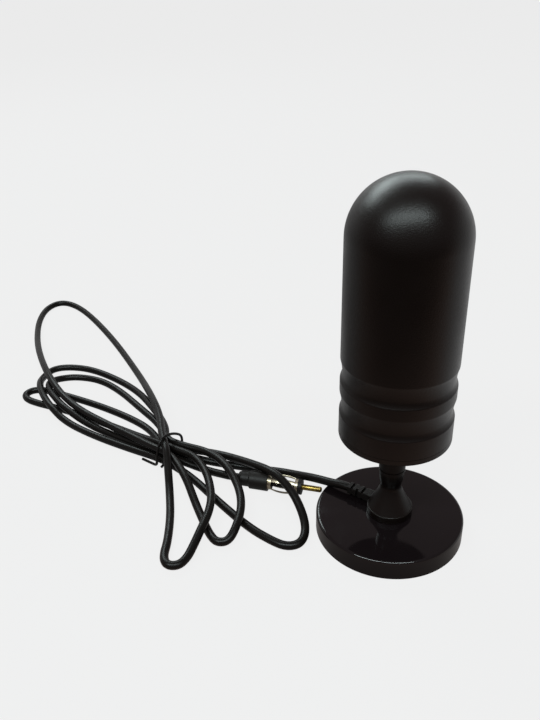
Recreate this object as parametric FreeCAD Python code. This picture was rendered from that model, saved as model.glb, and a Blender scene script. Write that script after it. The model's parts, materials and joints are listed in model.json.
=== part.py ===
import FreeCAD, Part
import math
import os
from FreeCAD import Vector

# Car radio antenna: capsule head on a turned stem, on a round magnetic foot, with a tied coaxial lead.
# Millimetres. The origin is the middle of the foot's underside, Z is the axis of the antenna.

# Clearances
slip_gap = 0.15
thread_gap = 0.05
rest_gap = 0.05

# Magnetic foot, a stack from the table upwards
base_radius = 36.0
base_wall = 2.0
base_edge_round = 1.4
base_crown = 0.7
skirt_lift = 0.4
pad_thickness = 0.8
pad_inset = 1.0
closing_thickness = 1.2
magnet_radius = 25.5
magnet_bore = 9.0
magnet_thickness = 4.2
yoke_overhang = 1.0
yoke_thickness = 1.6
base_top_thickness = 3.2
boss_radius = 2.4
boss_count = 3
closing_screw_radius = 1.1
closing_screw_head = 2.0
closing_screw_length = 5.5

# Stem with its threaded foot
foot_radius = 11.05
foot_height = 3.8
foot_edge_round = 0.5
flare_height = 11.0
flare_hollow = 0.2
waist_edge_radius = 5.2
waist_radius = 4.95
waist_height = 3.5
shoulder_radius = 5.95
shoulder_bulge = 0.12
shoulder_height = 5.7
collar_height = 1.4
stem_thread_radius = 4.0
stem_nut_flats = 13.0
stem_nut_thickness = 3.2
stem_washer_radius = 6.4
stem_washer_thickness = 0.8
stem_spigot_radius = 4.2
stem_spigot_length = 8.0

# Neck sleeve between the stem and the head
neck_radius = 6.3
neck_height = 21.1
neck_ring_height = 0.9
neck_ring_groove = 0.3
neck_thread_radius = 4.6
neck_thread_spare = 1.0
neck_nut_flats = 14.0
neck_nut_thickness = 4.0
neck_washer_radius = 8.2
neck_washer_thickness = 1.0

# Capsule head
head_radius = 26.1
head_length = 121.6
head_wall = 2.2
cover_thickness = 2.9
cover_edge_round = 0.8
cover_floor = 3.3
cover_lip_height = 4.5
cover_lip_wall = 2.0
groove_heights = (16.2, 32.6)
groove_depth = 1.0
groove_rise = 7.0
groove_run = 3.5

# Circuit board in the head
board_thickness = 1.6
board_side_gap = 5.5
board_top_gap = 10.0
board_lift = 2.5
board_corner = 5.0
trace_thickness = 0.35
trace_width = 2.0
trace_pitch = 7.0
trace_turns = 10
trace_edge_gap = 2.0
coil_radius = 4.0
coil_length = 6.0
post_width = 6.0
post_depth = 5.0
post_height = 18.0
post_offset = 12.5
board_screw_radius = 1.1
board_screw_head = 2.2
board_screw_head_height = 1.6
board_screw_length = 5.0

# Lead and its strain relief
cord_radius = 2.15
entry_height = 3.5
entry_angle = 155.0
inner_bend = 5.0
inner_straight = 1.5
inner_tail = 6.0
relief_length = 11.65
relief_plug_radius = 2.6
relief_width = 5.4
relief_end_width = 4.8
relief_corner = 1.0
relief_slot = 1.3
relief_slot_depth = 1.3
relief_slot_pitch = 3.0
relief_slot_count = 3
relief_first_slot = 3.15
lead_exit_run = 4.0
bend_share = 0.45

# Plug of the lead, sizes along its own axis from the cord to the tip
plug_x = -80.5
plug_y = 20.4
plug_heading = -4.4
plug_entry_run = 5.0
sleeve_radius = 4.1
sleeve_length = 5.8
sleeve_taper = 1.6
barrel_radius = 5.0
barrel_length = 10.4
barrel_edge = 0.7
ferrule_radius = 3.9
ferrule_length = 2.0
leaf_count = 4
leaf_turn = 20.0
leaf_width = 2.6
leaf_thickness = 0.45
leaf_bow_radius = 4.95
leaf_span = 12.8
nose_ring_length = 1.6
core_radius = 2.0
disc_radius = 4.2
disc_thickness = 2.0
pin_radius = 1.5
pin_length = 10.6
pin_tip = 1.0
pin_core_radius = 0.8
pin_core_sink = 6.0

# Wire tie round the loops
tie_radius = 0.75

# Heights worked out from the stack
closing_base = pad_thickness
magnet_base = closing_base + closing_thickness
yoke_base = magnet_base + magnet_thickness
cover_ceiling = yoke_base + yoke_thickness
base_top = cover_ceiling + base_top_thickness
rim_top = base_top - base_crown
foot_top = base_top + foot_height
flare_top = foot_top + flare_height
waist_top = flare_top + waist_height
shoulder_top = waist_top + shoulder_height
neck_base = shoulder_top + collar_height
head_base = neck_base + neck_height
head_top = head_base + head_length
shell_base = head_base + cover_thickness
cover_top = head_base + cover_floor
dome_base = head_top - head_radius
head_bore = head_radius - head_wall
neck_thread_top = cover_top + neck_washer_thickness + neck_nut_thickness + neck_thread_spare
entry_z = base_top + entry_height
board_face = cord_radius + rest_gap
board_base = neck_thread_top + board_lift
board_half = head_bore - board_side_gap
board_top = head_top - head_wall - board_top_gap
relief_root = inner_bend + inner_straight
relief_reach = foot_radius + relief_length
boss_circle = (magnet_radius + yoke_overhang + base_radius - base_wall) / 2

# The lead's route, chosen by hand: from the relief to the tie, then loop by loop, then to the plug
lead_to_tie = [(-29.4, 13.2, 13.4), (-40, 18.4, 11.4), (-49.5, 25, 7), (-60, 30.2, 4), (-73, 32.6, 2.2),
               (-88, 33.8, 2.2), (-104, 35, 2.6), (-119, 37.5, 3.8), (-130, 42, 3.8)]
narrow_left_loop = [(-143, 59, 2.6), (-159, 69.5, 2.2), (-183, 80, 2.2), (-208, 88, 2.2), (-221, 91.5, 2.2),
                    (-229, 93, 2.2), (-235, 91, 2.2), (-237, 85.5, 2.2), (-233, 80.5, 2.2),
                    (-225, 77.5, 2.2), (-212, 74.5, 2.2), (-190, 68.5, 2.2), (-162, 57, 2.8),
                    (-144, 47, 5.4), (-131, 40, 8.3), (-120, 35.3, 8.3)]
first_right_loop = [(-108, 31, 8.4), (-98, 19, 7.6), (-91, 2, 7.4), (-89, -11, 7.3), (-90, -23, 6.6),
                    (-91.5, -32, 4), (-93, -39.5, 2.2), (-95.8, -45, 2.2), (-101.3, -45.6, 2.2),
                    (-104.6, -40.4, 2.2), (-105.5, -30, 2.2), (-109.5, -12, 2.2), (-115, 5, 3.4),
                    (-119.5, 18, 8), (-123, 28.5, 13.2), (-130, 41.5, 13.2)]
wide_left_loop = [(-136.5, 59.5, 13), (-148, 80, 12), (-170.5, 118, 3.4), (-205.5, 164.5, 2.2),
                  (-239.5, 202, 2.2), (-259.5, 218, 2.2), (-272.5, 220.5, 2.2), (-278.5, 208.5, 2.2),
                  (-275, 187, 2.2), (-263, 158.5, 3.4), (-246.5, 129, 7.6), (-225.5, 98, 11.3),
                  (-207.5, 79, 8.6), (-190, 66.5, 7), (-169, 55.5, 6.8), (-148, 44.5, 7.2),
                  (-133, 35.3, 8.4), (-122, 30.8, 8.4)]
second_right_loop = [(-109, 15, 7.4), (-99, -2, 3.6), (-90.5, -15.5, 2.2), (-86, -22.5, 2.2),
                     (-81.5, -27, 2.2), (-76, -25.5, 2.4), (-73.5, -18.5, 5.6), (-73.5, -5, 7.2),
                     (-78, 9, 8), (-88, 24, 10), (-101, 35.5, 8.8), (-118.5, 39.7, 8.3),
                     (-129, 44.3, 8.3)]
outer_left_loop = [(-133, 57.5, 8.3), (-147, 76.5, 7), (-164.5, 98.5, 3.2), (-185.5, 113.5, 2.2),
                   (-207, 123, 2.2), (-223.5, 123.5, 2.2), (-233, 119, 2.2), (-234, 107.5, 3),
                   (-230, 93.3, 6.9), (-222, 81, 6.9), (-211.7, 69.5, 6.5), (-198, 60, 2.2),
                   (-174, 48.5, 2.2), (-149, 39.5, 2.4), (-134, 33.5, 3.8), (-123, 29, 3.8)]
third_right_loop = [(-107, 20, 2.2), (-88.5, 3, 2.2), (-68.5, -14, 2.2), (-55.5, -21.5, 2.2),
                    (-47.5, -24.5, 2.2), (-41, -21.5, 2.2), (-39.5, -13, 2.8), (-42.5, -3.5, 5.8),
                    (-49.5, 6.5, 11.2), (-60.5, 17, 13.8), (-76.5, 28.5, 9.4), (-96.5, 38.5, 5.8),
                    (-117, 42.3, 3.8), (-128, 46.5, 3.8)]
inner_left_loop = [(-139.5, 65.5, 2.6), (-158, 82, 2.2), (-177, 99, 2.2), (-194.5, 110, 2.2),
                   (-211.5, 112, 2.2), (-221.5, 108, 2.6), (-225, 97, 6.2), (-220, 86.5, 7),
                   (-212, 78.2, 6.9), (-202, 69, 6.5), (-182, 58.5, 2.4), (-155, 47.5, 2.2),
                   (-132, 38, 3.8), (-121, 33.2, 3.8)]
lead_to_plug = [(-109, 30, 2.4), (-98, 26, 2.6), (-91, 22.6, 4.4)]
lead_loops = (lead_to_tie + narrow_left_loop + first_right_loop + wide_left_loop + second_right_loop
              + outer_left_loop + third_right_loop + inner_left_loop + lead_to_plug)

# The lead's ends: straight out of the strain relief, and straight into the plug
entry_direction = Vector(math.cos(math.radians(entry_angle)), math.sin(math.radians(entry_angle)), 0)
plug_direction = Vector(math.cos(math.radians(plug_heading)), math.sin(math.radians(plug_heading)), 0)
plug_place = Vector(plug_x, plug_y, barrel_radius + rest_gap)
lead_route = [entry_direction * relief_reach + Vector(0, 0, entry_z),
              entry_direction * (relief_reach + lead_exit_run) + Vector(0, 0, entry_z)]
lead_route += [Vector(*point) for point in lead_loops]
lead_route += [plug_place - plug_direction * plug_entry_run, plug_place]

# The wire tie's route: a tail on the table, once round the bundle, and a stub beside the tail
tie_route = [(-140, 33.6, 0.8), (-134, 30.8, 0.8), (-129.6, 28, 1.6), (-129, 27.2, 6), (-128.6, 29.4, 12),
             (-127.2, 33, 16.7), (-124.8, 38.6, 16), (-122.6, 44, 13), (-120.8, 48.4, 9),
             (-120.6, 48.6, 4.4), (-121.2, 46.8, 0.8), (-123.4, 41, 0.8), (-126, 33, 0.8), (-127, 28, 0.8)]


def spot(point):
    return Vector(point[0], 0, point[1])


# A turned solid. Each step is a point (radius, height), or a pair of points for an arc through the first.
def turned(start, *steps):
    edges = []
    last = start
    for step in steps + (start,):
        if isinstance(step[0], tuple):
            edges.append(Part.Arc(spot(last), spot(step[0]), spot(step[1])).toShape())
            last = step[1]
        else:
            edges.append(Part.LineSegment(spot(last), spot(step)).toShape())
            last = step
    face = Part.Face(Part.Wire(edges))
    return face.revolve(Vector(0, 0, 0), Vector(0, 0, 1), 360)


# The middle and end of an arc, as a step of a turned profile
def arc(radius, height, size, start, end):
    def on_arc(angle):
        return (radius + size * math.cos(math.radians(angle)), height + size * math.sin(math.radians(angle)))
    return (on_arc((start + end) / 2), on_arc(end))


def rod(radius, length, base=Vector(0, 0, 0), axis=Vector(0, 0, 1)):
    return Part.makeCylinder(radius, length, base, axis)


def ring(radius, bore, length, base):
    return turned((bore, base), (radius, base), (radius, base + length), (bore, base + length))


def box(low, high):
    size = high - low
    return Part.makeBox(size.x, size.y, size.z, low)


def around(shape, count, first=0.0):
    copies = []
    for index in range(count):
        copy = shape.copy()
        copy.rotate(Vector(0, 0, 0), Vector(0, 0, 1), first + index * 360 / count)
        copies.append(copy)
    return copies


def hex_nut(flats, bore, thickness, base):
    corner = flats / math.sqrt(3)
    points = [Vector(corner * math.cos(k * math.pi / 3), corner * math.sin(k * math.pi / 3), base)
              for k in range(7)]
    prism = Part.Face(Part.makePolygon(points)).extrude(Vector(0, 0, thickness))
    return prism.cut(rod(bore, thickness, Vector(0, 0, base)))


# A round tube along straight runs joined by arcs, each arc as large as its two runs allow
def tube(points, radius):
    radii = []
    edges = []
    last = points[0]
    for before, corner, after in zip(points, points[1:], points[2:]):
        back = before - corner
        ahead = after - corner
        reach = bend_share * min(back.Length, ahead.Length)
        back.normalize()
        ahead.normalize()
        turn = math.pi - back.getAngle(ahead)
        bend = reach / math.tan(turn / 2)
        radii.append(bend)
        inward = back + ahead
        inward.normalize()
        middle = corner + inward * (bend / math.cos(turn / 2) - bend)
        edges.append(Part.LineSegment(last, corner + back * reach).toShape())
        last = corner + ahead * reach
        edges.append(Part.Arc(corner + back * reach, middle, last).toShape())
    edges.append(Part.LineSegment(last, points[-1]).toShape())
    path = Part.Wire(edges)
    section = Part.Wire(Part.Circle(points[0], points[1] - points[0], radius).toShape())
    solid = path.makePipeShell([section], True, False)
    expected = math.pi * radius ** 2 * path.Length
    print("tube length %.1f, volume to expected %.4f" % (path.Length, solid.Volume / expected))
    print("bend radii", " ".join("%.1f" % bend for bend in radii))
    return solid


# Foot
def base_cover():
    inside = base_radius - base_wall
    top_round = arc(base_radius - base_edge_round, rim_top - base_edge_round, base_edge_round, 0, 90)
    crown_middle = ((base_radius - base_edge_round + foot_radius) / 2, base_top - base_crown / 4)
    bore = stem_thread_radius + slip_gap
    cup = turned((bore, cover_ceiling), (inside, cover_ceiling), (inside, skirt_lift),
                 (base_radius, skirt_lift), (base_radius, rim_top - base_edge_round), top_round,
                 (crown_middle, (foot_radius, base_top)), (bore, base_top))
    boss_height = cover_ceiling - magnet_base
    boss = rod(boss_radius, boss_height, Vector(boss_circle, 0, magnet_base))
    pilot = rod(closing_screw_radius + thread_gap, boss_height, Vector(boss_circle, 0, magnet_base))
    return cup.fuse(around(boss.cut(pilot), boss_count)).removeSplitter()


def closing_plate():
    plate = rod(base_radius - base_wall - slip_gap, closing_thickness, Vector(0, 0, closing_base))
    sink = closing_screw(thread_gap)
    return plate.cut(around(sink, boss_count))


# A countersunk screw, or with a gap the hole that it needs
def closing_screw(gap=0.0):
    head = closing_screw_head + gap
    shank = closing_screw_radius + gap
    screw = turned((0, closing_base), (head, closing_base), (shank, magnet_base),
                   (shank, closing_base + closing_screw_length), (0, closing_base + closing_screw_length))
    screw.translate(Vector(boss_circle, 0, 0))
    return screw


def base_parts():
    screws = Part.makeCompound(around(closing_screw(), boss_count))
    return {
        "base_cover": base_cover(),
        "base_closing_plate": closing_plate(),
        "base_closing_screws": screws,
        "base_pad": rod(base_radius - base_wall - pad_inset, pad_thickness),
        "ring_magnet": ring(magnet_radius, magnet_bore, magnet_thickness, magnet_base),
        "yoke_plate": ring(magnet_radius + yoke_overhang, magnet_bore, yoke_thickness, yoke_base),
    }


# The coax inside the stem: in from the side, one bend, and up to the circuit board
def inner_path(radius, top, start):
    side = entry_direction * start + Vector(0, 0, entry_z)
    bend_side = entry_direction * inner_bend + Vector(0, 0, entry_z)
    bend_top = Vector(0, 0, entry_z + inner_bend)
    swing = inner_bend * (1 - math.cos(math.pi / 4))
    middle = entry_direction * swing + Vector(0, 0, entry_z + swing)
    edges = [Part.LineSegment(side, bend_side).toShape(),
             Part.Arc(bend_side, middle, bend_top).toShape(),
             Part.LineSegment(bend_top, Vector(0, 0, top)).toShape()]
    section = Part.Wire(Part.Circle(side, entry_direction, radius).toShape())
    return Part.Wire(edges).makePipeShell([section], True, False)


# The stem's outside, from its threaded end to the spigot that carries the neck
def stem_body():
    low_round = arc(foot_radius - foot_edge_round, base_top + foot_edge_round, foot_edge_round, -90, 0)
    high_round = arc(foot_radius - foot_edge_round, foot_top - foot_edge_round, foot_edge_round, 0, 90)
    flare_middle = ((foot_radius - foot_edge_round + waist_edge_radius) / 2 - flare_hollow,
                    foot_top + flare_height / 2)
    shoulder_middle = ((waist_edge_radius + shoulder_radius) / 2 + shoulder_bulge,
                       waist_top + shoulder_height / 2)
    waist_middle = (waist_radius, flare_top + waist_height / 2)
    thread_base = cover_ceiling - stem_washer_thickness - stem_nut_thickness
    return turned((0, thread_base), (stem_thread_radius, thread_base), (stem_thread_radius, base_top),
                  (foot_radius - foot_edge_round, base_top), low_round,
                  (foot_radius, foot_top - foot_edge_round), high_round,
                  (flare_middle, (waist_edge_radius, flare_top)),
                  (waist_middle, (waist_edge_radius, waist_top)),
                  (shoulder_middle, (shoulder_radius, shoulder_top)), (shoulder_radius, neck_base),
                  (stem_spigot_radius, neck_base), (stem_spigot_radius, neck_base + stem_spigot_length),
                  (0, neck_base + stem_spigot_length))


def stem():
    bore = inner_path(cord_radius + slip_gap, neck_base + stem_spigot_length, foot_radius)
    socket = rod(relief_plug_radius + slip_gap, foot_radius,
                 entry_direction * relief_root + Vector(0, 0, entry_z), entry_direction)
    return stem_body().cut([bore, socket])


def neck_sleeve():
    ring_top = neck_base + neck_ring_height
    groove_top = ring_top + 2 * neck_ring_groove
    groove = neck_radius - neck_ring_groove
    spigot_top = neck_base + stem_spigot_length + slip_gap
    bore = cord_radius + slip_gap
    socket = stem_spigot_radius + slip_gap
    return turned((socket, neck_base), (neck_radius, neck_base), (neck_radius, ring_top), (groove, ring_top),
                  (groove, groove_top), (neck_radius, groove_top), (neck_radius, head_base),
                  (neck_thread_radius, head_base), (neck_thread_radius, neck_thread_top),
                  (bore, neck_thread_top), (bore, spigot_top), (socket, spigot_top))


def stem_parts():
    washer_base = cover_ceiling - stem_washer_thickness
    nut_base = washer_base - stem_nut_thickness
    return {
        "stem": stem(),
        "stem_washer": ring(stem_washer_radius, stem_thread_radius + slip_gap, stem_washer_thickness,
                            washer_base),
        "stem_nut": hex_nut(stem_nut_flats, stem_thread_radius + thread_gap, stem_nut_thickness, nut_base),
        "neck_sleeve": neck_sleeve(),
        "neck_washer": ring(neck_washer_radius, neck_thread_radius + slip_gap, neck_washer_thickness,
                            cover_top),
        "neck_nut": hex_nut(neck_nut_flats, neck_thread_radius + thread_gap, neck_nut_thickness,
                            cover_top + neck_washer_thickness),
        "inner_coax": inner_path(cord_radius, board_base + inner_tail, relief_root),
    }


# Head
def head_shell():
    steps = [(head_radius, shell_base)]
    floor = head_radius - groove_depth
    for height in groove_heights:
        deepest = head_base + height
        run_middle = (floor + groove_depth / 4, deepest - groove_run / 2)
        rise_middle = (floor + groove_depth / 4, deepest + groove_rise / 2)
        steps += [(head_radius, deepest - groove_run), (run_middle, (floor, deepest)),
                  (rise_middle, (head_radius, deepest + groove_rise))]
    steps += [(head_radius, dome_base), arc(0, dome_base, head_radius, 0, 90), (0, head_top - head_wall),
              arc(0, dome_base, head_bore, 90, 0)]
    return turned((head_bore, shell_base), *steps)


def head_cover():
    lip = head_bore - slip_gap
    edge = arc(head_radius - cover_edge_round, head_base + cover_edge_round, cover_edge_round, -90, 0)
    bore = neck_thread_radius + slip_gap
    lip_top = shell_base + cover_lip_height
    disc = turned((bore, head_base), (head_radius - cover_edge_round, head_base), edge,
                  (head_radius, shell_base), (lip, shell_base), (lip, lip_top),
                  (lip - cover_lip_wall, lip_top), (lip - cover_lip_wall, cover_top), (bore, cover_top))
    back = board_face + board_thickness
    posts = []
    for side in (-1, 1):
        middle = side * post_offset
        post = box(Vector(middle - post_width / 2, back, cover_top),
                   Vector(middle + post_width / 2, back + post_depth, cover_top + post_height))
        posts.append(post.cut(board_screw(middle, thread_gap)))
    return disc.fuse(posts).removeSplitter()


# A pan-head screw that holds the board to its post, or with a gap the hole that it needs
def board_screw(middle, gap=0.0):
    screw_z = (board_base + cover_top + post_height) / 2
    seat = Vector(middle, board_face, screw_z)
    head = rod(board_screw_head, board_screw_head_height, seat, Vector(0, -1, 0))
    shank = rod(board_screw_radius + gap, board_screw_length, seat, Vector(0, 1, 0))
    return head.fuse(shank)


def antenna_board():
    outline = [(-board_half, board_base), (board_half, board_base), (board_half, board_top - board_corner),
               (board_half - board_corner, board_top), (-board_half + board_corner, board_top),
               (-board_half, board_top - board_corner), (-board_half, board_base)]
    face = Part.Face(Part.makePolygon([Vector(x, board_face, z) for x, z in outline]))
    board = face.extrude(Vector(0, board_thickness, 0))
    return board.cut([board_screw(-post_offset, thread_gap), board_screw(post_offset, thread_gap)])


# A copper meander on the front of the board, from above the coax to near the top
def radiator_trace():
    reach = board_half - trace_edge_gap - board_corner / 2
    low = board_base + inner_tail + trace_edge_gap
    front = board_face - trace_thickness
    bars = [box(Vector(-trace_width / 2, front, low), Vector(trace_width / 2, board_face, low + trace_pitch))]
    for turn in range(trace_turns):
        z = low + trace_pitch * (turn + 1) - trace_width
        side = reach if turn % 2 else -reach
        bars.append(box(Vector(-reach, front, z), Vector(reach, board_face, z + trace_width)))
        if turn < trace_turns - 1:
            bars.append(box(Vector(side - trace_width / 2, front, z),
                            Vector(side + trace_width / 2, board_face, z + trace_pitch + trace_width)))
    return bars[0].fuse(bars[1:]).removeSplitter()


def head_parts():
    back = board_face + board_thickness
    coil_z = board_base + post_height + coil_radius
    screws = Part.makeCompound([board_screw(-post_offset), board_screw(post_offset)])
    return {
        "head_shell": head_shell(),
        "head_cover": head_cover(),
        "antenna_board": antenna_board(),
        "radiator_trace": radiator_trace(),
        "matching_coil": rod(coil_radius, coil_length, Vector(0, back, coil_z), Vector(0, 1, 0)),
        "board_screws": screws,
    }


# Strain relief, moulded along +X with crosswise slots and then turned to the lead's heading
def strain_relief():
    ends = [rounded_square(relief_width, relief_root), rounded_square(relief_end_width, relief_reach)]
    bar = Part.makeLoft(ends, True)
    slots = []
    for index in range(relief_slot_count):
        middle = foot_radius + relief_first_slot + index * relief_slot_pitch
        slot = box(Vector(middle - relief_slot / 2, -relief_width, relief_width / 2 - relief_slot_depth),
                   Vector(middle + relief_slot / 2, relief_width, relief_width))
        for side in (0, 180):
            copy = slot.copy()
            copy.rotate(Vector(0, 0, 0), Vector(1, 0, 0), side + 90 * (index % 2))
            slots.append(copy)
    bar = along_entry(bar.cut(slots)).cut(stem_body())
    plug = rod(relief_plug_radius, relief_reach - relief_root, Vector(relief_root, 0, 0), Vector(1, 0, 0))
    plug = along_entry(plug).common(stem_body())
    return bar.fuse(plug).removeSplitter()


def along_entry(shape):
    shape.rotate(Vector(0, 0, 0), Vector(0, 0, 1), entry_angle)
    shape.translate(Vector(0, 0, entry_z))
    return shape


def rounded_square(width, x):
    half = width / 2
    flat = half - relief_corner
    bow = relief_corner * (1 - math.sqrt(0.5))
    edges = []
    for quarter in range(4):
        turn = FreeCAD.Rotation(Vector(1, 0, 0), 90 * quarter)
        low = turn.multVec(Vector(0, half, -flat)) + Vector(x, 0, 0)
        high = turn.multVec(Vector(0, half, flat)) + Vector(x, 0, 0)
        middle = turn.multVec(Vector(0, half - bow, half - bow)) + Vector(x, 0, 0)
        end = turn.multVec(Vector(0, flat, half)) + Vector(x, 0, 0)
        edges.append(Part.LineSegment(low, high).toShape())
        edges.append(Part.Arc(high, middle, end).toShape())
    return Part.Wire(edges)


# Plug, built along +Z from the cord's end and then laid on the table
def laid_plug(shape):
    shape.rotate(Vector(0, 0, 0), Vector(0, 1, 0), 90)
    shape.rotate(Vector(0, 0, 0), Vector(0, 0, 1), plug_heading)
    shape.translate(plug_place)
    return shape


def contact_sleeve(base):
    leaf_base = base + ferrule_length
    leaf_top = leaf_base + leaf_span
    ferrule = ring(ferrule_radius, ferrule_radius - leaf_thickness, ferrule_length, base)
    nose = ring(ferrule_radius, ferrule_radius - leaf_thickness, nose_ring_length, leaf_top)
    middle = (leaf_base + leaf_top) / 2
    inner = ferrule_radius - leaf_thickness
    edges = [Part.Arc(spot((ferrule_radius, leaf_base)), spot((leaf_bow_radius, middle)),
                      spot((ferrule_radius, leaf_top))).toShape(),
             Part.LineSegment(spot((ferrule_radius, leaf_top)), spot((inner, leaf_top))).toShape(),
             Part.Arc(spot((inner, leaf_top)), spot((leaf_bow_radius - leaf_thickness, middle)),
                      spot((inner, leaf_base))).toShape(),
             Part.LineSegment(spot((inner, leaf_base)), spot((ferrule_radius, leaf_base))).toShape()]
    wedge = math.degrees(leaf_width / leaf_bow_radius)
    leaf = Part.Face(Part.Wire(edges)).revolve(Vector(0, 0, 0), Vector(0, 0, 1), wedge)
    return ferrule.fuse([nose] + around(leaf, leaf_count, leaf_turn)).removeSplitter()


def plug_parts():
    barrel_base = sleeve_length
    barrel_top = barrel_base + barrel_length
    nose_top = barrel_top + ferrule_length + leaf_span + nose_ring_length
    disc_top = nose_top + disc_thickness
    core_bore = pin_core_radius + thread_gap
    core_base = barrel_top - pin_core_sink
    grip = turned((0, 0), (sleeve_radius - sleeve_taper / 2, 0), (sleeve_radius, sleeve_taper),
                  (sleeve_radius, barrel_base), (barrel_radius - barrel_edge, barrel_base),
                  (barrel_radius, barrel_base + barrel_edge), (barrel_radius, barrel_top),
                  (core_bore, barrel_top), (core_bore, core_base), (0, core_base))
    insulator = turned((core_bore, barrel_top), (core_radius, barrel_top), (core_radius, nose_top),
                       (disc_radius, nose_top), (disc_radius, disc_top), (core_bore, disc_top))
    tip_base = disc_top + pin_length - pin_tip
    pin = turned((0, core_base), (pin_core_radius, core_base), (pin_core_radius, disc_top),
                 (pin_radius, disc_top), (pin_radius, tip_base),
                 arc(pin_radius - pin_tip, tip_base, pin_tip, 0, 90), (0, disc_top + pin_length))
    return {
        "plug_grip": laid_plug(grip),
        "plug_contact_sleeve": laid_plug(contact_sleeve(barrel_top)),
        "plug_insulator": laid_plug(insulator),
        "plug_pin": laid_plug(pin),
    }


def lead_parts():
    return {
        "strain_relief": strain_relief(),
        "coax_lead": tube(lead_route, cord_radius),
        "wire_tie": tube([Vector(*point) for point in tie_route], tie_radius),
    }


nodes = {}
for group in (base_parts, stem_parts, head_parts, lead_parts, plug_parts):
    nodes.update(group())
os.makedirs("parts", exist_ok=True)
for name, shape in nodes.items():
    shape.exportStep("parts/" + name + ".step")
    print(name, len(shape.Solids), shape.isValid(), round(shape.Volume, 1))
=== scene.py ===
import json
import math

import bmesh
import bpy
from mathutils import Matrix, Quaternion, Vector


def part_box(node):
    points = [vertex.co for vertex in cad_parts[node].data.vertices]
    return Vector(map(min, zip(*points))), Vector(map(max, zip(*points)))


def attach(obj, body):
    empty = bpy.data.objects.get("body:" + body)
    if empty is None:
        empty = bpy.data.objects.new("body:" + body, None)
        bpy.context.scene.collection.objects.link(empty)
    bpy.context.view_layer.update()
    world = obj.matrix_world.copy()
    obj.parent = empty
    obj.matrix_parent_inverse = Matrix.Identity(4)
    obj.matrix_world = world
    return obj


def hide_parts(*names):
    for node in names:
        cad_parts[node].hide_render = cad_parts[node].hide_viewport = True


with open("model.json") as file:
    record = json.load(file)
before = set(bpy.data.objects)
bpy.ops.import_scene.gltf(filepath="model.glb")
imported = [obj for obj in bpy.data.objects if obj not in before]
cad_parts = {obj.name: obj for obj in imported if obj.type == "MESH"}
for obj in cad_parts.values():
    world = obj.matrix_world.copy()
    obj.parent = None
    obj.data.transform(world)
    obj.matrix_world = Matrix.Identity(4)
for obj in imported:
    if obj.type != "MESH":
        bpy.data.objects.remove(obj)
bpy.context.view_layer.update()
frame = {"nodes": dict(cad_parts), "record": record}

mm = 0.001
body = "root"
print("frame loaded:", len(frame["nodes"]), "nodes")


# Small tools

def linear(hexColour):
    channels = [int(hexColour[i:i + 2], 16) / 255 for i in (1, 3, 5)]
    return [c / 12.92 if c <= 0.04045 else ((c + 0.055) / 1.055) ** 2.4 for c in channels] + [1.0]


# Sockets take a value or the output to link, and settings are the node's own properties
def addNode(tree, kind, sockets=None, **settings):
    node = tree.nodes.new(kind)
    for key, value in settings.items():
        setattr(node, key, value)
    for socket, value in (sockets or {}).items():
        if isinstance(value, bpy.types.NodeSocket):
            tree.links.new(value, node.inputs[socket])
        else:
            node.inputs[socket].default_value = value
    return node


def startMaterial(name, **shaderSockets):
    material = bpy.data.materials.new(name)
    material.use_nodes = True
    tree = material.node_tree
    shader = tree.nodes["Principled BSDF"]
    for socket, value in shaderSockets.items():
        shader.inputs[socket.replace("_", " ")].default_value = value
    place = addNode(tree, "ShaderNodeTexCoord").outputs["Object"]
    return material, tree, shader, place


# Materials

reliefDepth = 0.1 * mm  # how deep every bump is drawn, before its strength
noiseSpan = {"From Min": 0.3, "From Max": 0.7}  # where most of a noise's values lie


# Black ABS from a spark-eroded mould: soft wide highlights with a fine grain in them
def satinAbs():
    material, tree, shader, place = startMaterial(
        "ABS moulded satin black", Base_Color=linear("#090504"), IOR=1.5, Specular_IOR_Level=0.15)
    grainSize = 0.5 * mm  # the real grain is near 0.1 mm, drawn coarser so that it shows
    grain = addNode(tree, "ShaderNodeTexNoise", {"Vector": place, "Scale": 1 / grainSize, "Detail": 2.0})
    bump = addNode(tree, "ShaderNodeBump", {"Height": grain.outputs["Fac"], "Strength": 0.7,
                                            "Distance": reliefDepth})
    tree.links.new(bump.outputs["Normal"], shader.inputs["Normal"])
    patchSize = 22 * mm  # handling leaves broad patches a little smoother than the rest
    patches = addNode(tree, "ShaderNodeTexNoise", {"Vector": place, "Scale": 1 / patchSize, "Detail": 3.0})
    rough = addNode(tree, "ShaderNodeMapRange", {"Value": patches.outputs["Fac"], **noiseSpan,
                                                 "To Min": 0.32, "To Max": 0.4})
    tree.links.new(rough.outputs["Result"], shader.inputs["Roughness"])
    return material


# Polished black ABS: a dark mirror with the odd smear and speck of dust
def pianoAbs():
    material, tree, shader, place = startMaterial(
        "ABS polished piano black", IOR=1.5, Specular_IOR_Level=0.24)
    smearSize = 14 * mm
    smears = addNode(tree, "ShaderNodeTexNoise", {"Vector": place, "Scale": 1 / smearSize, "Detail": 5.0,
                                                  "Distortion": 0.8})
    rough = addNode(tree, "ShaderNodeMapRange", {"Value": smears.outputs["Fac"], "From Min": 0.35,
                                                 "From Max": 0.75, "To Min": 0.05, "To Max": 0.14})
    tree.links.new(rough.outputs["Result"], shader.inputs["Roughness"])
    dustSpacing = 2.4 * mm  # a speck fades out between two shares of this
    dust = addNode(tree, "ShaderNodeTexVoronoi", {"Vector": place, "Scale": 1 / dustSpacing})
    speck = addNode(tree, "ShaderNodeMapRange", {"Value": dust.outputs["Distance"], "From Min": 0.02,
                                                 "From Max": 0.06, "To Min": 0.5, "To Max": 0.0})
    colour = addNode(tree, "ShaderNodeMix", {"Factor": speck.outputs["Result"], "A": linear("#0c0809"),
                                             "B": linear("#2c2829")}, data_type="RGBA")
    tree.links.new(colour.outputs["Result"], shader.inputs["Base Color"])
    return material


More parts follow.
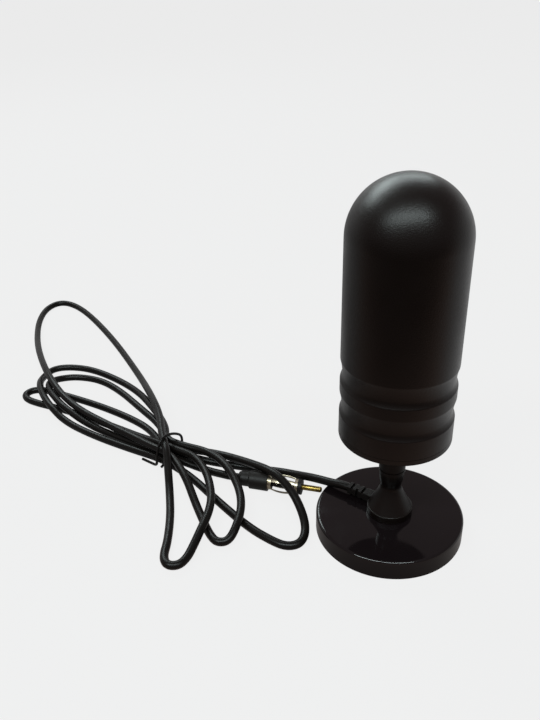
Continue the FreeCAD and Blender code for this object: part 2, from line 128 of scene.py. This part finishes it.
# Extruded PVC jacket: satin black, with a slight unevenness left by the die
def pvcJacket():
    material, tree, shader, place = startMaterial(
        "PVC extruded cable jacket", Base_Color=linear("#090706"), IOR=1.5, Specular_IOR_Level=0.13)
    waveSize = 5 * mm
    waves = addNode(tree, "ShaderNodeTexNoise", {"Vector": place, "Scale": 1 / waveSize, "Detail": 4.0})
    rough = addNode(tree, "ShaderNodeMapRange", {"Value": waves.outputs["Fac"], **noiseSpan,
                                                 "To Min": 0.3, "To Max": 0.38})
    tree.links.new(rough.outputs["Result"], shader.inputs["Roughness"])
    skinSize = 1.6 * mm
    skin = addNode(tree, "ShaderNodeTexNoise", {"Vector": place, "Scale": 1 / skinSize, "Detail": 2.0})
    bump = addNode(tree, "ShaderNodeBump", {"Height": skin.outputs["Fac"], "Strength": 0.02,
                                            "Distance": reliefDepth})
    tree.links.new(bump.outputs["Normal"], shader.inputs["Normal"])
    return material


# Soft black PVC moulded straight on to the lead: matt, slightly pitted
def mouldedPvc():
    material, tree, shader, place = startMaterial(
        "PVC overmoulded black", Base_Color=linear("#0c0908"), IOR=1.5, Specular_IOR_Level=0.16)
    pitSize = 0.6 * mm
    pits = addNode(tree, "ShaderNodeTexNoise", {"Vector": place, "Scale": 1 / pitSize, "Detail": 3.0})
    bump = addNode(tree, "ShaderNodeBump", {"Height": pits.outputs["Fac"], "Strength": 0.2,
                                            "Distance": reliefDepth})
    tree.links.new(bump.outputs["Normal"], shader.inputs["Normal"])
    rough = addNode(tree, "ShaderNodeMapRange", {"Value": pits.outputs["Fac"], **noiseSpan,
                                                 "To Min": 0.44, "To Max": 0.56})
    tree.links.new(rough.outputs["Result"], shader.inputs["Roughness"])
    return material


# A plated or bare metal: streaks along the drawn strip, and a tarnish that gathers in patches
def drawnMetal(name, clean, tarnished, roughLow, roughHigh, streakWidth):
    material, tree, shader, place = startMaterial(name, Metallic=1.0)
    patchSize = 3 * mm
    patches = addNode(tree, "ShaderNodeTexNoise", {"Vector": place, "Scale": 1 / patchSize, "Detail": 4.0})
    tarnish = addNode(tree, "ShaderNodeMapRange", {"Value": patches.outputs["Fac"], "From Min": 0.42,
                                                   "From Max": 0.72})
    colour = addNode(tree, "ShaderNodeMix", {"Factor": tarnish.outputs["Result"], "A": linear(clean),
                                             "B": linear(tarnished)}, data_type="RGBA")
    tree.links.new(colour.outputs["Result"], shader.inputs["Base Color"])
    streakLength = streakWidth * 8
    stretched = addNode(tree, "ShaderNodeMapping", {
        "Vector": place, "Scale": (1 / streakLength, 1 / streakWidth, 1 / streakWidth)})
    streaks = addNode(tree, "ShaderNodeTexNoise", {"Vector": stretched.outputs["Vector"], "Scale": 1.0,
                                                   "Detail": 2.0})
    rough = addNode(tree, "ShaderNodeMapRange", {"Value": streaks.outputs["Fac"], **noiseSpan,
                                                 "To Min": roughLow, "To Max": roughHigh})
    tree.links.new(rough.outputs["Result"], shader.inputs["Roughness"])
    return material


# A plain inner material with a slight mottle, for what the closed housings hide
def mottled(name, first, second, size, metallic, roughness):
    material, tree, shader, place = startMaterial(name, Metallic=metallic, Roughness=roughness)
    mottle = addNode(tree, "ShaderNodeTexNoise", {"Vector": place, "Scale": 1 / size, "Detail": 4.0})
    colour = addNode(tree, "ShaderNodeMix", {"Factor": mottle.outputs["Fac"], "A": linear(first),
                                             "B": linear(second)}, data_type="RGBA")
    tree.links.new(colour.outputs["Result"], shader.inputs["Base Color"])
    return material


satinBlack = satinAbs()
jacketBlack = pvcJacket()
finishes = {
    "gloss_black": pianoAbs(),
    "satin_black": satinBlack,
    "black_lead": jacketBlack,
    "black_moulding": mouldedPvc(),
    "nickel": drawnMetal("Spring brass nickel plated", "#9a917f", "#554735", 0.26, 0.42, 0.4 * mm),
    "brass": drawnMetal("Brass turned and lacquered", "#8f7a40", "#524323", 0.3, 0.44, 0.3 * mm),
    "soft_pad": mottled("Neoprene foam black", "#0f0e0e", "#1b1a1a", 0.8 * mm, 0.0, 0.9),
    "ferrite": mottled("Ferrite sintered grey", "#2b2b2d", "#3a3a3d", 1.5 * mm, 0.2, 0.7),
    "zinc_steel": mottled("Steel zinc plated", "#a8aaad", "#8d8f93", 2.0 * mm, 1.0, 0.4),
    "board_green": mottled("Glass epoxy green", "#0f4a26", "#155a30", 1.2 * mm, 0.0, 0.45),
    "copper": mottled("Copper etched", "#b8734a", "#9a5a38", 1.0 * mm, 1.0, 0.35),
}
for row in frame["record"]["subparts"]:
    frame["nodes"][row["node"]].data.materials[0] = finishes[row["material_slot"]]
print("materials made")


# Head: capsule with two coved grooves that have a hard lip above and below, in mm and degrees
headShape = {
    "wall": 2.2, "grooves": (32.6, 16.2), "depth": 1.0, "rise": 7.0, "run": 3.5, "lip": 0.3, "seam": 0.3,
    "easeAbove": 0.9, "easeBelow": 0.8,  # how much of a cove's flank its rounding takes up
    "domeShare": 0.9999,  # just short of the whole radius, so that the dome's rounding stops before the axis
    "turnSteps": 128, "leastSegments": 6, "segmentsPerMm": 1.5, "mergeWithin": 0.002, "sharpAngle": 32,
}


# Where the tangents of a cove's flank meet, as a height from its deepest point
def coveKnee(flank):
    size = (flank ** 2 + headShape["depth"] ** 2) / (2 * headShape["depth"])
    return size * math.tan(math.asin(flank / size) / 2)


# The half profile from the dome's top, down the outside and up the inside, as (radius, height, rounding)
# in mm, where the rounding is how far it eats into the edges
def headCorners():
    low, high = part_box("head_shell")
    radius = high.x / mm
    base = low.z / mm
    top = high.z / mm
    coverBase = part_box("head_cover")[0].z / mm
    bore = radius - headShape["wall"]
    grooveFloor = radius - headShape["depth"]
    above = coveKnee(headShape["rise"])
    below = coveKnee(headShape["run"])
    corners = [(0, top, 0), (radius, top, radius * headShape["domeShare"])]
    for height in headShape["grooves"]:
        z = coverBase + height
        corners += [(radius, z + headShape["rise"], headShape["lip"]),
                    (grooveFloor, z + above, above * headShape["easeAbove"]),
                    (grooveFloor, z - below, below * headShape["easeBelow"]),
                    (radius, z - headShape["run"], headShape["lip"])]
    return corners + [(radius, base, headShape["seam"]), (bore, base, 0),
                      (bore, top - headShape["wall"], bore * headShape["domeShare"]),
                      (0, top - headShape["wall"], 0)]


def turned(corners):
    bm = bmesh.new()
    verts = [bm.verts.new((radius * mm, 0, height * mm)) for radius, height, _ in corners]
    for a, b in zip(verts, verts[1:]):
        bm.edges.new((a, b))
    for vert, (_, _, rounding) in zip(verts, corners):
        if rounding:
            segments = max(headShape["leastSegments"], int(rounding * headShape["segmentsPerMm"]))
            bmesh.ops.bevel(bm, geom=[vert], offset=rounding * mm, offset_type="OFFSET", affect="VERTICES",
                            segments=segments, profile=0.5, material=-1)
    bmesh.ops.spin(bm, geom=bm.verts[:] + bm.edges[:], cent=(0, 0, 0), axis=(0, 0, 1), dvec=(0, 0, 0),
                   angle=math.tau, steps=headShape["turnSteps"], use_merge=True, use_normal_flip=False,
                   use_duplicate=False)
    bmesh.ops.remove_doubles(bm, verts=bm.verts, dist=headShape["mergeWithin"] * mm)
    bmesh.ops.recalc_face_normals(bm, faces=bm.faces)
    return bm


def headShell():
    bm = turned(headCorners())
    mesh = bpy.data.meshes.new("headShell")
    bm.to_mesh(mesh)
    bm.free()
    mesh.shade_smooth()
    mesh.set_sharp_from_angle(angle=math.radians(headShape["sharpAngle"]))
    mesh.materials.append(satinBlack)
    piece = bpy.data.objects.new("headShell", mesh)
    bpy.context.scene.collection.objects.link(piece)
    normals = piece.modifiers.new("evenNormals", "WEIGHTED_NORMAL")
    normals.keep_sharp = True
    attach(piece, body)
    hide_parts("head_shell")
    return piece


head = headShell()
print("head made")


# The lead, in mm and degrees, with its length in metres. Its route has the same points as the CAD tube
leadShape = {"diameter": 4.3, "entryAngle": 155.0, "reliefReach": 22.7, "entryHeight": 14.5, "exitRun": 4.0,
             "plugPlace": (-80.5, 20.4, 5.05), "plugHeading": -4.4, "plugRun": 5.0, "length": 2.05}
leadToTie = [(-29.4, 13.2, 13.4), (-40, 18.4, 11.4), (-49.5, 25, 7), (-60, 30.2, 4), (-73, 32.6, 2.2),
             (-88, 33.8, 2.2), (-104, 35, 2.6), (-119, 37.5, 3.8), (-130, 42, 3.8)]
narrowLeftLoop = [(-143, 59, 2.6), (-159, 69.5, 2.2), (-183, 80, 2.2), (-208, 88, 2.2), (-221, 91.5, 2.2),
                  (-229, 93, 2.2), (-235, 91, 2.2), (-237, 85.5, 2.2), (-233, 80.5, 2.2),
                  (-225, 77.5, 2.2), (-212, 74.5, 2.2), (-190, 68.5, 2.2), (-162, 57, 2.8),
                  (-144, 47, 5.4), (-131, 40, 8.3), (-120, 35.3, 8.3)]
firstRightLoop = [(-108, 31, 8.4), (-98, 19, 7.6), (-91, 2, 7.4), (-89, -11, 7.3), (-90, -23, 6.6),
                  (-91.5, -32, 4), (-93, -39.5, 2.2), (-95.8, -45, 2.2), (-101.3, -45.6, 2.2),
                  (-104.6, -40.4, 2.2), (-105.5, -30, 2.2), (-109.5, -12, 2.2), (-115, 5, 3.4),
                  (-119.5, 18, 8), (-123, 28.5, 13.2), (-130, 41.5, 13.2)]
wideLeftLoop = [(-136.5, 59.5, 13), (-148, 80, 12), (-170.5, 118, 3.4), (-205.5, 164.5, 2.2),
                (-239.5, 202, 2.2), (-259.5, 218, 2.2), (-272.5, 220.5, 2.2), (-278.5, 208.5, 2.2),
                (-275, 187, 2.2), (-263, 158.5, 3.4), (-246.5, 129, 7.6), (-225.5, 98, 11.3),
                (-207.5, 79, 8.6), (-190, 66.5, 7), (-169, 55.5, 6.8), (-148, 44.5, 7.2),
                (-133, 35.3, 8.4), (-122, 30.8, 8.4)]
secondRightLoop = [(-109, 15, 7.4), (-99, -2, 3.6), (-90.5, -15.5, 2.2), (-86, -22.5, 2.2),
                   (-81.5, -27, 2.2), (-76, -25.5, 2.4), (-73.5, -18.5, 5.6), (-73.5, -5, 7.2),
                   (-78, 9, 8), (-88, 24, 10), (-101, 35.5, 8.8), (-118.5, 39.7, 8.3),
                   (-129, 44.3, 8.3)]
outerLeftLoop = [(-133, 57.5, 8.3), (-147, 76.5, 7), (-164.5, 98.5, 3.2), (-185.5, 113.5, 2.2),
                 (-207, 123, 2.2), (-223.5, 123.5, 2.2), (-233, 119, 2.2), (-234, 107.5, 3),
                 (-230, 93.3, 6.9), (-222, 81, 6.9), (-211.7, 69.5, 6.5), (-198, 60, 2.2),
                 (-174, 48.5, 2.2), (-149, 39.5, 2.4), (-134, 33.5, 3.8), (-123, 29, 3.8)]
thirdRightLoop = [(-107, 20, 2.2), (-88.5, 3, 2.2), (-68.5, -14, 2.2), (-55.5, -21.5, 2.2),
                  (-47.5, -24.5, 2.2), (-41, -21.5, 2.2), (-39.5, -13, 2.8), (-42.5, -3.5, 5.8),
                  (-49.5, 6.5, 11.2), (-60.5, 17, 13.8), (-76.5, 28.5, 9.4), (-96.5, 38.5, 5.8),
                  (-117, 42.3, 3.8), (-128, 46.5, 3.8)]
innerLeftLoop = [(-139.5, 65.5, 2.6), (-158, 82, 2.2), (-177, 99, 2.2), (-194.5, 110, 2.2),
                 (-211.5, 112, 2.2), (-221.5, 108, 2.6), (-225, 97, 6.2), (-220, 86.5, 7),
                 (-212, 78.2, 6.9), (-202, 69, 6.5), (-182, 58.5, 2.4), (-155, 47.5, 2.2),
                 (-132, 38, 3.8), (-121, 33.2, 3.8)]
leadToPlug = [(-109, 30, 2.4), (-98, 26, 2.6), (-91, 22.6, 4.4)]
tieRoute = [(-140, 33.6, 0.8), (-134, 30.8, 0.8), (-129.6, 28, 1.6), (-129, 27.2, 6), (-128.6, 29.4, 12),
            (-127.2, 33, 16.7), (-124.8, 38.6, 16), (-122.6, 44, 13), (-120.8, 48.4, 9),
            (-120.6, 48.6, 4.4), (-121.2, 46.8, 0.8), (-123.4, 41, 0.8), (-126, 33, 0.8), (-127, 28, 0.8)]
tieShape = {"diameter": 1.5}


def heading(angle):
    return Vector((math.cos(math.radians(angle)), math.sin(math.radians(angle)), 0))


def smoothTube(name, points, diameter, material, node):
    curve = bpy.data.curves.new(name, "CURVE")
    curve.dimensions = "3D"
    curve.bevel_depth = diameter / 2 * mm
    curve.bevel_resolution = 6
    curve.use_fill_caps = True
    curve.resolution_u = 10
    spline = curve.splines.new("NURBS")
    spline.points.add(len(points) - 1)
    for point, place in zip(spline.points, points):
        point.co = (*(Vector(place) * mm), 1)
    spline.order_u = 3
    spline.use_endpoint_u = True
    piece = bpy.data.objects.new(name, curve)
    bpy.context.scene.collection.objects.link(piece)
    curve.materials.append(material)
    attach(piece, body)
    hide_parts(node)
    return piece


def leadRoute():
    out = heading(leadShape["entryAngle"])
    up = Vector((0, 0, leadShape["entryHeight"]))
    plug = Vector(leadShape["plugPlace"])
    reach = leadShape["reliefReach"]
    start = [out * reach + up, out * (reach + leadShape["exitRun"]) + up]
    end = [plug - heading(leadShape["plugHeading"]) * leadShape["plugRun"], plug]
    return (start + leadToTie + narrowLeftLoop + firstRightLoop + wideLeftLoop + secondRightLoop
            + outerLeftLoop + thirdRightLoop + innerLeftLoop + leadToPlug + end)


route = leadRoute()
lead = smoothTube("coaxLead", route, leadShape["diameter"], jacketBlack, "coax_lead")
tie = smoothTube("wireTie", tieRoute, tieShape["diameter"], jacketBlack, "wire_tie")
print("lead laid")


# Camera at the photograph's place, in mm and degrees
view = {"place": (0, -295.4, 263.8), "aim": (-58.07, 0, 91.37), "roll": -1.454, "lens": 38.155,
        "sensor": 36.0}


def addCamera():
    data = bpy.data.cameras.new("camera")
    data.lens = view["lens"]
    data.sensor_width = view["sensor"]
    camera = bpy.data.objects.new("camera", data)
    bpy.context.scene.collection.objects.link(camera)
    place = Vector(view["place"]) * mm
    aim = Vector(view["aim"]) * mm - place
    level = aim.to_track_quat("-Z", "Y").to_matrix().to_4x4()
    roll = Matrix.Rotation(math.radians(view["roll"]), 4, "Z")
    camera.matrix_world = Matrix.Translation(place) @ level @ roll
    bpy.context.scene.camera = camera


addCamera()
print("camera placed")


# Studio, in metres: floor and backdrop are even and pale for the camera. Reflections see the floor dim
# towards the front and the left, with a painted shadow round the foot, and the backdrop turn into a darker
# room overhead and in front
studio = {
    "pale": "#efefef", "floorHalf": 6.0, "floorDrop": 0.05 * mm, "floorAlbedo": "#2e2e2e", "floorGlow": 0.82,
    "frontFade": (-0.22, -0.09), "frontGlow": 0.05,  # along y
    "leftFade": (-0.12, 0.02), "leftShare": 0.55,  # along x
    # painted shadow: near the foot's axis the glow that reflections see falls to this share
    "footShadowFade": (0.036, 0.085), "footShadowShare": 0.29,  # out from the foot's axis
    "tintFade": (-0.1, 0.02), "frontTint": "#ffd2bc", "plainTint": "#ffffff",  # along y
    "ambient": 0.3, "room": "#9c9090", "backdropSide": (-0.15, 0.3), "backdropTop": (0.15, 0.45),
    "daylight": "#f1ffff", "lampAim": (0, 0, 0.15),
}
# A long lamp above the front, a broad one behind for the dome, and a weak one like a window at the left back
lamps = {
    "frontLamp": {"toward": (-0.06, -0.56, 0.83), "distance": 1.3, "size": (1.7, 0.13), "turn": 14,
                  "power": 33},
    "domeLamp": {"toward": (-0.33, 0.73, 0.6), "distance": 1.4, "size": (1.9, 0.34), "turn": 0,
                 "power": 23, "headGlossOnly": True},
    "windowLamp": {"toward": (-0.52, 0.62, 0.58), "distance": 1.4, "size": (0.9, 0.34), "turn": 0,
                   "power": 10},
}


# What the camera sees straight, and what it sees in reflections and through glass
def seenBy(tree):
    path = addNode(tree, "ShaderNodeLightPath")
    mirrored = addNode(tree, "ShaderNodeMath", {0: path.outputs["Is Glossy Ray"],
                                                1: path.outputs["Is Transmission Ray"]}, operation="MAXIMUM")
    return path.outputs["Is Camera Ray"], mirrored.outputs[0]


# Matt pale paper: a dim diffuse sheet that takes the shadow, with a glow that only eyes and reflections see.
# The glow that reflections see has a painted shadow round the foot
def paleFloor():
    material = bpy.data.materials.new("Paper matt pale")
    material.use_nodes = True
    tree = material.node_tree
    tree.nodes.remove(tree.nodes["Principled BSDF"])
    paper = addNode(tree, "ShaderNodeBsdfDiffuse", {"Color": linear(studio["floorAlbedo"])})
    place = addNode(tree, "ShaderNodeTexCoord").outputs["Object"]
    along = addNode(tree, "ShaderNodeSeparateXYZ", {0: place})
    away = addNode(tree, "ShaderNodeVectorMath", {0: place}, operation="LENGTH")
    eye, shine = seenBy(tree)
    fades = [(along.outputs["Y"], studio["frontFade"], (studio["frontGlow"], studio["floorGlow"])),
             (along.outputs["X"], studio["leftFade"], (studio["leftShare"], 1.0)),
             # painted shadow: the glow that reflections see darkens round the foot
             (away.outputs["Value"], studio["footShadowFade"], (studio["footShadowShare"], 1.0))]
    for distance, (near, far), (least, most) in fades:
        fade = addNode(tree, "ShaderNodeMapRange", {"Value": distance, "From Min": near, "From Max": far,
                                                    "To Min": least, "To Max": most})
        shine = addNode(tree, "ShaderNodeMath", {0: shine, 1: fade.outputs["Result"]},
                        operation="MULTIPLY").outputs[0]
    strength = addNode(tree, "ShaderNodeMath", {0: eye, 1: studio["floorGlow"], 2: shine},
                       operation="MULTIPLY_ADD")
    tintStart, tintEnd = studio["tintFade"]
    behind = addNode(tree, "ShaderNodeMapRange", {"Value": along.outputs["Y"], "From Min": tintStart,
                                                  "From Max": tintEnd})
    plain = addNode(tree, "ShaderNodeMath", {0: eye, 1: behind.outputs["Result"]}, operation="MAXIMUM")
    tint = addNode(tree, "ShaderNodeMix", {"Factor": plain.outputs[0], "A": linear(studio["frontTint"]),
                                           "B": linear(studio["plainTint"])}, data_type="RGBA")
    glow = addNode(tree, "ShaderNodeEmission", {"Color": tint.outputs["Result"],
                                                "Strength": strength.outputs[0]})
    both = addNode(tree, "ShaderNodeAddShader", {0: paper.outputs[0], 1: glow.outputs[0]})
    tree.links.new(both.outputs[0], tree.nodes["Material Output"].inputs["Surface"])
    return material


def addFloor():
    bm = bmesh.new()
    bmesh.ops.create_grid(bm, x_segments=1, y_segments=1, size=studio["floorHalf"])
    mesh = bpy.data.meshes.new("floor")
    bm.to_mesh(mesh)
    bm.free()
    mesh.materials.append(paleFloor())
    floor = bpy.data.objects.new("floor", mesh)
    bpy.context.scene.collection.objects.link(floor)
    floor.location.z = -studio["floorDrop"]


def addWorld():
    world = bpy.data.worlds.new("studio")
    world.use_nodes = True
    bpy.context.scene.world = world
    tree = world.node_tree
    direction = addNode(tree, "ShaderNodeTexCoord").outputs["Generated"]
    toward = addNode(tree, "ShaderNodeSeparateXYZ", {0: direction})
    sideStart, sideEnd = studio["backdropSide"]
    side = addNode(tree, "ShaderNodeMapRange", {"Value": toward.outputs["Y"], "From Min": sideStart,
                                                "From Max": sideEnd})
    topStart, topEnd = studio["backdropTop"]
    height = addNode(tree, "ShaderNodeMapRange", {"Value": toward.outputs["Z"], "From Min": topStart,
                                                  "From Max": topEnd, "To Min": 1.0, "To Max": 0.0})
    share = addNode(tree, "ShaderNodeMath", {0: side.outputs["Result"], 1: height.outputs["Result"]},
                    operation="MULTIPLY")
    pale = linear(studio["pale"])
    backdrop = addNode(tree, "ShaderNodeMix", {"Factor": share.outputs[0], "A": linear(studio["room"]),
                                               "B": pale}, data_type="RGBA")
    eye, mirrored = seenBy(tree)
    around = addNode(tree, "ShaderNodeMix", {"Factor": mirrored, "A": [studio["ambient"]] * 3 + [1.0],
                                             "B": backdrop.outputs["Result"]}, data_type="RGBA")
    colour = addNode(tree, "ShaderNodeMix", {"Factor": eye, "A": around.outputs["Result"], "B": pale},
                     data_type="RGBA")
    tree.links.new(colour.outputs["Result"], tree.nodes["Background"].inputs["Color"])


def addLamps():
    for name, lamp in lamps.items():
        data = bpy.data.lights.new(name, "AREA")
        data.shape = "RECTANGLE"
        data.size, data.size_y = lamp["size"]
        data.energy = lamp["power"]
        data.color = linear(studio["daylight"])[:3]
        light = bpy.data.objects.new(name, data)
        bpy.context.scene.collection.objects.link(light)
        toward = Vector(lamp["toward"]).normalized()
        light.location = Vector(studio["lampAim"]) + toward * lamp["distance"]
        light.rotation_mode = "QUATERNION"
        spin = Quaternion((0, 0, 1), math.radians(lamp["turn"]))
        light.rotation_quaternion = toward.to_track_quat("Z", "Y") @ spin
        if lamp.get("headGlossOnly"):  # the polished foot would mirror it, so it lights nothing else
            lit = bpy.data.collections.new(name + " receivers")
            lit.objects.link(head)
            light.visible_diffuse = False
            light.light_linking.receiver_collection = lit


addFloor()
addWorld()
addLamps()
bpy.context.scene.view_settings.view_transform = "Standard"
print("studio set")
